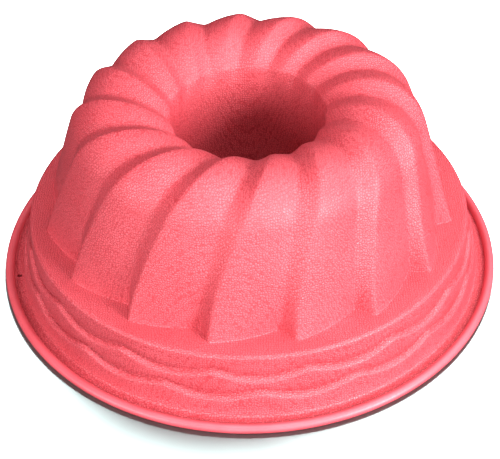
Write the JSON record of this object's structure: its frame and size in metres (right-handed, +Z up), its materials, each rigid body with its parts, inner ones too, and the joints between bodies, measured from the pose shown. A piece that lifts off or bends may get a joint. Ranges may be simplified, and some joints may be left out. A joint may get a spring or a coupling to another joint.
{
  "type": "bundt pan",
  "caption": "Ring-shaped silicone baking mould with swirled flutes, a scalloped skirt, an open centre tube and a wire-stiffened rim, stored upside down on its rim.",
  "frame": {"origin": "centre of the resting face, under the rim, with the pan upside down", "axes": "+Z up along the centre tube, from the rim to the crown; -Y is the side the reference view is taken from"},
  "size_m": [0.24, 0.24, 0.095],
  "materials": {
    "silicone": "fine pebble grain, soft satin",
    "silicone_smooth": "smooth satin",
    "wire": "drawn wire"
  },
  "bodies": {
    "root": {"rim_wire": "wire", "rim_bead": "silicone_smooth", "rim_flange": "silicone", "scalloped_skirt": "silicone", "shoulder": "silicone", "fluted_wall": "silicone", "fluted_crown": "silicone", "centre_tube": "silicone"}
  },
  "joints": []
}
